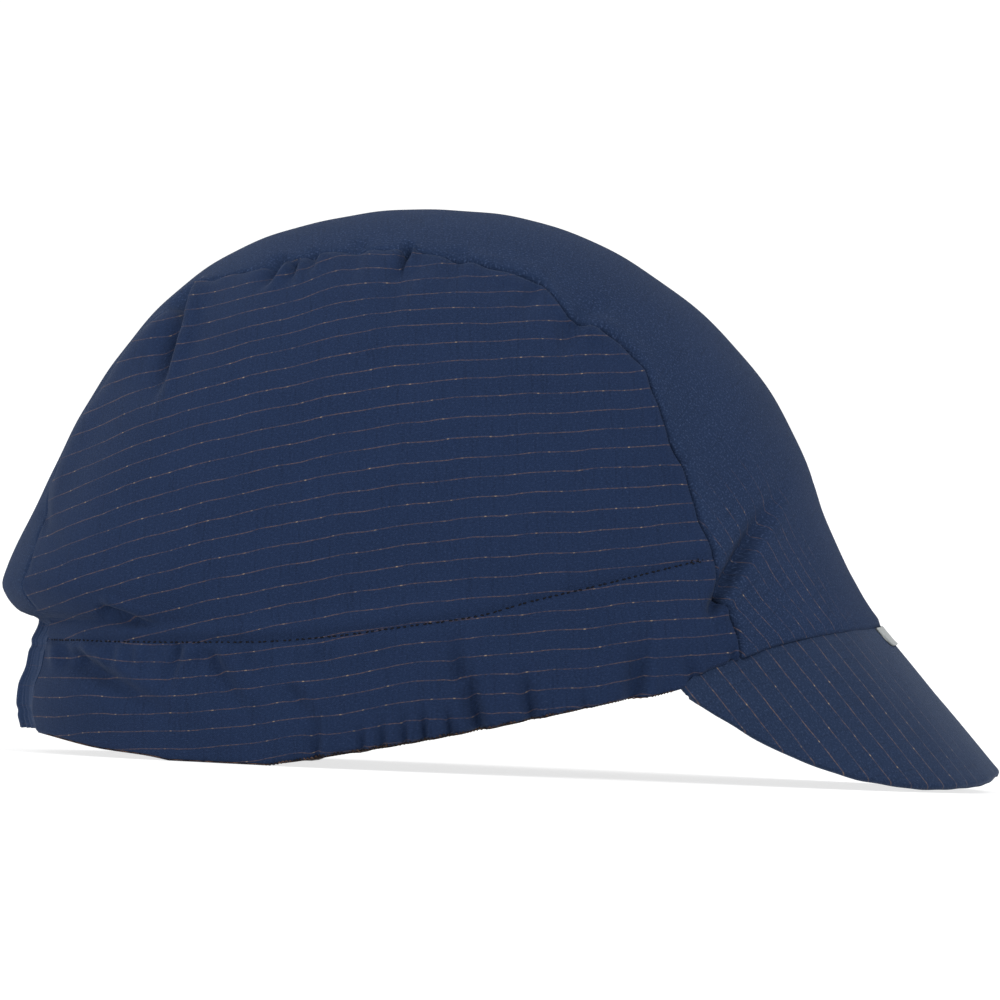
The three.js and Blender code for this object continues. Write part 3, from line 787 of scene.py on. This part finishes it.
def knitted_band(name, colour):
    """Dull knit with fine ribs and fuzz."""
    material = bpy.data.materials.new(name)
    material.use_nodes = True
    nodes, links = material.node_tree.nodes, material.node_tree.links
    shader = nodes["Principled BSDF"]
    shader.inputs["Roughness"].default_value = 0.92
    shader.inputs["Specular IOR Level"].default_value = 0.15
    shader.inputs["Sheen Weight"].default_value = 0.2
    cloth_map = nodes.new("ShaderNodeUVMap")
    cloth_map.uv_map = "cloth"
    ribs = nodes.new("ShaderNodeTexWave")
    ribs.inputs["Scale"].default_value = 0.35
    ribs.inputs["Distortion"].default_value = 0.6
    fuzz = nodes.new("ShaderNodeTexNoise")
    fuzz.inputs["Scale"].default_value = 1.4
    links.new(cloth_map.outputs[0], ribs.inputs["Vector"])
    links.new(cloth_map.outputs[0], fuzz.inputs["Vector"])
    ramp = nodes.new("ShaderNodeValToRGB")
    ramp.color_ramp.elements[0].color = (*[c * 0.6 for c in colour], 1)
    ramp.color_ramp.elements[1].color = (*[c * 1.7 for c in colour], 1)
    links.new(fuzz.outputs["Fac"], ramp.inputs[0])
    links.new(ramp.outputs[0], shader.inputs["Base Color"])
    bump = nodes.new("ShaderNodeBump")
    bump.inputs["Strength"].default_value = 0.6
    bump.inputs["Distance"].default_value = 0.0002
    links.new(ribs.outputs["Fac"], bump.inputs["Height"])
    links.new(bump.outputs[0], shader.inputs["Normal"])
    return material


dark_knit = knitted_band("dark_knit", (0.018, 0.0125, 0.0125))
turn = np.linspace(0, 2 * math.pi, BAND_COLUMNS + 1)
foot = rim_point(turn)
drop = smooth_read(SHOWS, 1, foot[:, 0])
v = np.linspace(0, 1, BAND_ROWS + 1)[None, :]
low = foot[:, 2] - drop
high = foot[:, 2] + BAND_HEIGHT
base = round_point(turn[:, None] + 0 * v, low[:, None] + (high - low)[:, None] * v)
at_casing = np.where(base[..., 0] < 0, 1 - ease(np.abs(base[..., 1]), 24, 34), 0)
out = crown_relief(base) - CLOTH - BAND_IN - BAND_IN_AT_CASING * at_casing
out -= BAND_LEAN * ease(v, 0.25, 0.6)
normal = outward(base)
normal[0] = normal[-1] = (normal[0] + normal[-1]) / 2
band_points = base + normal * out[..., None]
band_points[-1] = band_points[0]
band_uv = np.stack([dist_along(base, 0), dist_along(base, 1)], -1)
rim_band = cloth_piece("rim_band", band_points, lambda i, j: band_uv[i, j], closed=True)
give_wall(rim_band, BAND_THICKNESS)
rim_band.data.materials.append(dark_knit)
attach(rim_band, "root")
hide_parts("sweatband")

# Peak
# A short stiff sheet covered on both faces with the cap's cloth and bent round the front of
# the rim. Its straight lines run down its slope; the cover is turned at the outer edge.
PEAK_SLOPE = math.radians(50.4)
PEAK_WALL = 1.4
PEAK_SET_IN = 0.5
PEAK_START = -0.6
PEAK_CORNER_X = 63.25
# The outer edge is rounded off: how far it falls and over what width
PEAK_EDGE = (1.25, 1.6)
PEAK_LENGTH = (
    # x of the root, length
    (63.25, 2.8), (64.2, 6.5), (65.2, 11), (68.2, 21), (73.2, 29.8), (78, 36.3), (83.2, 41.6),
    (93.2, 47.4), (101, 49.1), (106, 49.3), (110.2, 48.5), (112.8, 47.2),
)
PEAK_COLUMNS, PEAK_ROWS = 300, 90
down_peak = np.array([math.cos(PEAK_SLOPE), 0, -math.sin(PEAK_SLOPE)])
turns = np.linspace(0.3, 1.6, 4001)
corner_turn = turns[np.searchsorted(-rim_point(turns)[:, 0], -PEAK_CORNER_X)]
peak_share = even_steps(lambda t: rim_point((2 * t - 1) * corner_turn), PEAK_COLUMNS)
root = rim_point((2 * peak_share - 1) * corner_turn)
length = smooth_read(PEAK_LENGTH, 1, root[:, 0])
v = np.linspace(0, 1, PEAK_ROWS + 1)[None, :]
run = PEAK_START + (length[:, None] - PEAK_START) * v
base = root[:, None, :] + down_peak * run[..., None]
along = dist_along(root, 0)[:, None]
from_edge = np.minimum(length[:, None] - run, np.minimum(along, along[-1] - along) + 1.2)
past_edge = 1 - np.clip(from_edge / PEAK_EDGE[1], 0, 1)
out = -PEAK_SET_IN - PEAK_EDGE[0] * (1 - np.sqrt(1 - past_edge**2))
out += 0.07 * np.sin(along / 6.1 + 0.4) * np.sin(run / 7.3) + 0.05 * np.sin(along / 2.9 + run / 5)
out -= 0.1 * (1 - ease(run, 0, 2.2))
out += 0.10 * np.sin(along / 1.3) * np.exp(-((from_edge / 2.2) ** 2))
peak_points = base + outward(base) * out[..., None]
across = along - along[-1] / 2
peak_uv = np.stack([run + 0 * across, across + np.sign(across) * (2.0 - 0.025 * run)], -1)
NAVY_PEAK = (0.0117, 0.0213, 0.0486)
# The peak's threads carry painted sheen: they are faded out down its middle, where sheen washes them
# out
peak_cloth = ripstop_cloth(
    "navy_ripstop_peak", NAVY_PEAK, 0.36, 0.6, 0.36, 0.12, (0.03, (-2, -1), (20, 52))
)
stiff_peak = cloth_piece("stiff_peak", peak_points, lambda i, j: peak_uv[i, j])
give_wall(stiff_peak, PEAK_WALL)
stiff_peak.data.materials.append(peak_cloth)
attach(stiff_peak, "root")
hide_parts("peak")

# Tab
# A small piece of silver-grey woven tape that lies over the peak's root at the middle. Its upper
# edge is caught in the seam, its lower corners are rounded, and nothing is woven into it.
TAB_HALF, TAB_LENGTH, TAB_START, TAB_CORNER = 17.0, 5.8, 0.1, 3.0
TAB_LIFT, TAB_THICKNESS = 0.62, 0.55
tab_y = np.linspace(-1, 1, 61) * TAB_HALF
at_front = np.interp(tab_y, root[:, 1], np.arange(len(root)))
tab_root = np.stack([np.interp(at_front, np.arange(len(root)), root[:, k]) for k in range(3)], -1)
rounding = np.maximum(TAB_CORNER - (TAB_HALF - np.abs(tab_y)), 0)
shorter = TAB_CORNER - np.sqrt(np.maximum(TAB_CORNER**2 - rounding**2, 0))
v = np.linspace(0, 1, 25)[None, :]
run = TAB_START + (TAB_LENGTH - shorter[:, None] - TAB_START) * v
base = tab_root[:, None, :] + down_peak * run[..., None]
rim_lift = 0.12 * np.exp(-(((1 - v) * 6 / 0.8) ** 2)) + 0 * run
tab_points = base + outward(base) * (-PEAK_SET_IN + TAB_LIFT + rim_lift)[..., None]
tab_uv = np.stack([tab_y[:, None] + 0 * run, run], -1)
silver_tape = bpy.data.materials.new("silver_tape")
silver_tape.use_nodes = True
tape_nodes, tape_links = silver_tape.node_tree.nodes, silver_tape.node_tree.links
tape = tape_nodes["Principled BSDF"]
tape.inputs["Roughness"].default_value = 0.42
tape.inputs["Metallic"].default_value = 0.15
tape_map = tape_nodes.new("ShaderNodeUVMap")
tape_map.uv_map = "cloth"
tape_weave = tape_nodes.new("ShaderNodeTexNoise")
tape_weave.inputs["Scale"].default_value = 1.6
tape_links.new(tape_map.outputs[0], tape_weave.inputs["Vector"])
tape_ramp = tape_nodes.new("ShaderNodeValToRGB")
tape_ramp.color_ramp.elements[0].color = (0.19, 0.205, 0.205, 1)
tape_ramp.color_ramp.elements[1].color = (0.33, 0.35, 0.35, 1)
tape_links.new(tape_weave.outputs["Fac"], tape_ramp.inputs[0])
tape_links.new(tape_ramp.outputs[0], tape.inputs["Base Color"])
tape_bump = tape_nodes.new("ShaderNodeBump")
tape_bump.inputs["Strength"].default_value = 0.4
tape_bump.inputs["Distance"].default_value = 0.0001
tape_links.new(tape_weave.outputs["Fac"], tape_bump.inputs["Height"])
tape_links.new(tape_bump.outputs[0], tape.inputs["Normal"])
root_tab = cloth_piece("root_tab", tab_points, lambda i, j: tab_uv[i, j])
give_wall(root_tab, TAB_THICKNESS)
root_tab.data.materials.append(silver_tape)
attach(root_tab, "root")
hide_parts("front_tab")

# Stitches
# Dark polyester thread in short, slightly uneven stitches, one row along the top of each hem.
# The machine goes back over the last few stitches at the front end to lock the row.
STITCH_PITCH, STITCH_LENGTH, STITCH_RADIUS = 1.6, 1.1, 0.19
# How far the hem's face is sunk below the smooth crown where the threads lie on it
THREAD_BED = 0.42
dark_thread = bpy.data.materials.new("dark_thread")
dark_thread.use_nodes = True
thread_shader = dark_thread.node_tree.nodes["Principled BSDF"]
thread_shader.inputs["Base Color"].default_value = (0.006, 0.006, 0.008, 1)
thread_shader.inputs["Roughness"].default_value = 0.8
thread_shader.inputs["Specular IOR Level"].default_value = 0.1


def faced_outward(name, verts, faces, material):
    """Adds a mesh from points in mm on the level cap, with its faces turned outward."""
    mesh = bpy.data.meshes.new(name)
    mesh.from_pydata(stand_up(verts).tolist(), [], faces)
    piece = bpy.data.objects.new(name, mesh)
    bpy.context.collection.objects.link(piece)
    make_active(piece)
    on_whole_mesh(bpy.ops.mesh.normals_make_consistent, inside=False)
    bpy.ops.object.shade_smooth()
    piece.data.materials.append(material)
    return piece


def stitch_row(name, path, normal, pitch, length, radius, material):
    """A row of small bent cylinders along a path, each sunk into the cloth at its ends."""
    far = dist_along(path, 0)
    starts = np.arange(pitch / 2, far[-1] - length, pitch)
    rings, sides = 5, 6
    verts, faces = [], []
    for count, start in enumerate(starts):
        first = len(verts)
        start += 0.12 * pitch * math.sin(2.9 * count)
        astray = radius * 0.6 * math.sin(4.7 * count + 1)
        for k in range(rings):
            at = start + length * k / (rings - 1)
            middle = np.array([np.interp(at, far, path[:, a]) for a in range(3)])
            ahead = np.array([np.interp(at + 0.2, far, path[:, a]) for a in range(3)]) - middle
            ahead /= np.linalg.norm(ahead)
            lift = np.array([np.interp(at, far, normal[:, a]) for a in range(3)])
            lift /= np.linalg.norm(lift)
            across = np.cross(ahead, lift)
            bow = math.sin(math.pi * k / (rings - 1))
            middle = middle + lift * radius * (1.5 * bow - 0.8) + across * astray * (k - 2) / 2
            size = radius * (0.45 + 0.55 * bow)
            for s in range(sides):
                a = 2 * math.pi * s / sides
                verts.append(middle + size * (math.cos(a) * across + math.sin(a) * lift))
        for k in range(rings - 1):
            for s in range(sides):
                a, b = first + k * sides + s, first + k * sides + (s + 1) % sides
                faces.append((a, b, b + sides, a + sides))
        faces.append(tuple(first + s for s in reversed(range(sides))))
        faces.append(tuple(first + (rings - 1) * sides + s for s in range(sides)))
    return faced_outward(name, np.array(verts), faces, material)


def side_point(x, z, side):
    """The crown's surface on one side, by place along the cap and height."""
    flat = (1 - (np.abs(x) / reach(z, x > 0)) ** PLAN_POWER) ** (1 / PLAN_POWER)
    return np.stack([x, side * side_reach(z) * flat, z], -1)


STITCH_RUNS = (
    # from x, to x, points, above the hem line
    (-94.5, 69.5, 700, 0), (69.3, 65.5, 16, 0.5), (65.7, 69, 14, -0.4),
)
for side, name in ((-1, "hem_stitches_right"), (1, "hem_stitches_left")):
    x = np.concatenate([np.linspace(start, end, points) for start, end, points, _ in STITCH_RUNS])
    above = np.concatenate([np.full(points, float(over)) for _, _, points, over in STITCH_RUNS])
    z = smooth_read(HEM_LINE, 1, x) + above
    path = side_point(x, z, side)
    normal = crown_outward(path)
    path = path + normal * (crown_relief(path) - THREAD_BED)[:, None]
    row = stitch_row(name, path, normal, STITCH_PITCH, STITCH_LENGTH, STITCH_RADIUS, dark_thread)
    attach(row, "root")

# Overlocking
# Brown and dark threads wrapped over the raw edge where the hem meets the sweatband. They
# zigzag round the rim's lower edge, flatter where the cap stands on it.
LOCK_PITCH, LOCK_RADIUS, LOCK_REACH = 0.95, 0.15, 0.75
LOCK_FROM_X, LOCK_TO_X = -95, 61
POINTS_PER_LOCK = 6
lock_thread = bpy.data.materials.new("lock_thread")
lock_thread.use_nodes = True
lock_nodes, lock_links = lock_thread.node_tree.nodes, lock_thread.node_tree.links
lock_shader = lock_nodes["Principled BSDF"]
lock_shader.inputs["Roughness"].default_value = 0.8
lock_shader.inputs["Specular IOR Level"].default_value = 0.1
lock_place = lock_nodes.new("ShaderNodeTexCoord")
lock_noise = lock_nodes.new("ShaderNodeTexNoise")
lock_noise.inputs["Scale"].default_value = 420
lock_links.new(lock_place.outputs["Object"], lock_noise.inputs["Vector"])
lock_ramp = lock_nodes.new("ShaderNodeValToRGB")
lock_ramp.color_ramp.elements[0].position = 0.42
lock_ramp.color_ramp.elements[0].color = (0.010, 0.007, 0.008, 1)
lock_ramp.color_ramp.elements[1].position = 0.68
lock_ramp.color_ramp.elements[1].color = (0.085, 0.050, 0.036, 1)
lock_links.new(lock_noise.outputs["Fac"], lock_ramp.inputs[0])
lock_links.new(lock_ramp.outputs[0], lock_shader.inputs["Base Color"])


def thread_tube(name, path, radius, material):
    """A round thread that follows a path, closed at both ends."""
    sides = 5
    ahead = np.gradient(path, axis=0)
    ahead /= np.linalg.norm(ahead, axis=1, keepdims=True)
    first = np.cross(ahead, np.array([0.31, 0.23, 0.92]))
    first /= np.linalg.norm(first, axis=1, keepdims=True)
    second = np.cross(ahead, first)
    turns = np.arange(sides) * 2 * math.pi / sides
    c, s = np.cos(turns)[None, :, None], np.sin(turns)[None, :, None]
    ring = first[:, None, :] * c + second[:, None, :] * s
    verts = (path[:, None, :] + radius * ring).reshape(-1, 3)
    faces = [
        (first + s, first + (s + 1) % sides, first + sides + (s + 1) % sides, first + sides + s)
        for first in range(0, (len(path) - 1) * sides, sides)
        for s in range(sides)
    ]
    faces.append(tuple(reversed(range(sides))))
    faces.append(tuple((len(path) - 1) * sides + s for s in range(sides)))
    return faced_outward(name, verts, faces, material)


for side, name in ((-1, "overlocking_right"), (1, "overlocking_left")):
    foot = rim_point(side * np.linspace(0.3, math.pi - 0.3, 4000))
    foot = foot[(foot[:, 0] > LOCK_FROM_X) & (foot[:, 0] < LOCK_TO_X)]
    far = dist_along(foot, 0)
    at = np.arange(0, far[-1], LOCK_PITCH / POINTS_PER_LOCK)
    edge = np.stack([np.interp(at, far, foot[:, k]) for k in range(3)], -1)
    away = np.stack([edge[:, 0] / 115, edge[:, 1] / 80, 0 * at], -1)
    away /= np.linalg.norm(away, axis=1, keepdims=True)
    swing = 2 * math.pi * at / LOCK_PITCH + 0.9 * np.sin(at / 1.7) + 0.6 * np.sin(at / 3.9)
    tall = LOCK_REACH * (0.75 + 0.25 * np.sin(at / 2.3 + 0.6) + 0.2 * np.sin(at / 0.71))
    tall *= 1 - 0.5 * ease(edge[:, 0], 20, 45)
    hangs = 0.3 * ease(edge[:, 0], -38, -22) * (1 - 0.7 * ease(edge[:, 0], 25, 45))
    standing = 1 - ease(edge[:, 0], -42, -32)
    tall *= 1 - 0.6 * standing
    rise = np.maximum(tall * (0.5 + 0.5 * np.cos(swing)) - hangs, 0.32 * standing - (1 - standing))
    depth = 0.12 - 0.95 * (0.5 + 0.5 * np.sin(swing)) * (rise < 0.1)
    path = edge + away * (crown_relief(edge) - THREAD_BED + depth)[:, None]
    path[:, 2] += rise
    lock = thread_tube(name, path, LOCK_RADIUS, lock_thread)
    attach(lock, "root")

# Setting
# The cap stands on a plain white table in an evenly lit white room, with soft daylight from the
# front right and light thrown back from the back right. It is seen square from its right side.
WINDOW_POWER, BOUNCE_POWER = 1.5, 1.4
TABLE_GLOW = 0.76
WALL_LIGHT, WALL_SEEN = 0.82, 1.08
bpy.ops.object.select_all(action="DESELECT")
bpy.ops.mesh.primitive_plane_add(size=60, location=(0, 0, 0))
table = bpy.context.object
table.name = "table"
table_white = bpy.data.materials.new("table_white")
table_white.use_nodes = True
table_shader = table_white.node_tree.nodes["Principled BSDF"]
table_shader.inputs["Base Color"].default_value = (0.28, 0.28, 0.28, 1)
table_shader.inputs["Emission Color"].default_value = (1, 1, 1, 1)
table_shader.inputs["Emission Strength"].default_value = TABLE_GLOW
table_shader.inputs["Roughness"].default_value = 0.9
table.data.materials.append(table_white)

world = bpy.data.worlds.new("white_room")
world.use_nodes = True
world_nodes, world_links = world.node_tree.nodes, world.node_tree.links
world_nodes["Background"].inputs["Color"].default_value = (1, 1, 1, 1)
ray = world_nodes.new("ShaderNodeLightPath")
wall_white = world_nodes.new("ShaderNodeMapRange")
wall_white.inputs["To Min"].default_value = WALL_LIGHT
wall_white.inputs["To Max"].default_value = WALL_SEEN
world_links.new(ray.outputs["Is Camera Ray"], wall_white.inputs["Value"])
world_links.new(wall_white.outputs[0], world_nodes["Background"].inputs["Strength"])
bpy.context.scene.world = world

bpy.ops.object.light_add(type="SUN", location=(0.6, -0.9, 1.2))
window = bpy.context.object
window.name = "window"
window.data.energy = WINDOW_POWER
window.data.angle = math.radians(24)
window.rotation_euler = (math.radians(48), 0, math.radians(36))

bpy.ops.object.light_add(type="SUN", location=(-1.2, -0.6, 0.8))
bounce = bpy.context.object
bounce.name = "bounce"
bounce.data.energy = BOUNCE_POWER
bounce.data.angle = math.radians(60)
bounce.rotation_euler = (math.radians(62), 0, math.radians(-68))

CAMERA_FAR = 6.0
VIEW_WIDTH = 0.25
CAMERA_HIGH = math.radians(0.3)
aim = stand_up(np.array([17.95, 0.0, 65.0]))
bpy.ops.object.camera_add()
camera = bpy.context.object
camera.name = "photo_camera"
camera.data.sensor_width = 36
camera.data.lens = 36 * CAMERA_FAR / VIEW_WIDTH
camera.data.clip_end = 40
looks = np.array([
    math.sin(CAMERA_HIGH) * math.sin(REST_TILT),
    math.cos(CAMERA_HIGH),
    -math.sin(CAMERA_HIGH) * math.cos(REST_TILT),
])
camera.location = aim - CAMERA_FAR * looks
camera.rotation_euler = (math.pi / 2 - CAMERA_HIGH, -REST_TILT, 0)
bpy.context.scene.camera = camera
bpy.context.scene.view_settings.view_transform = "Standard"
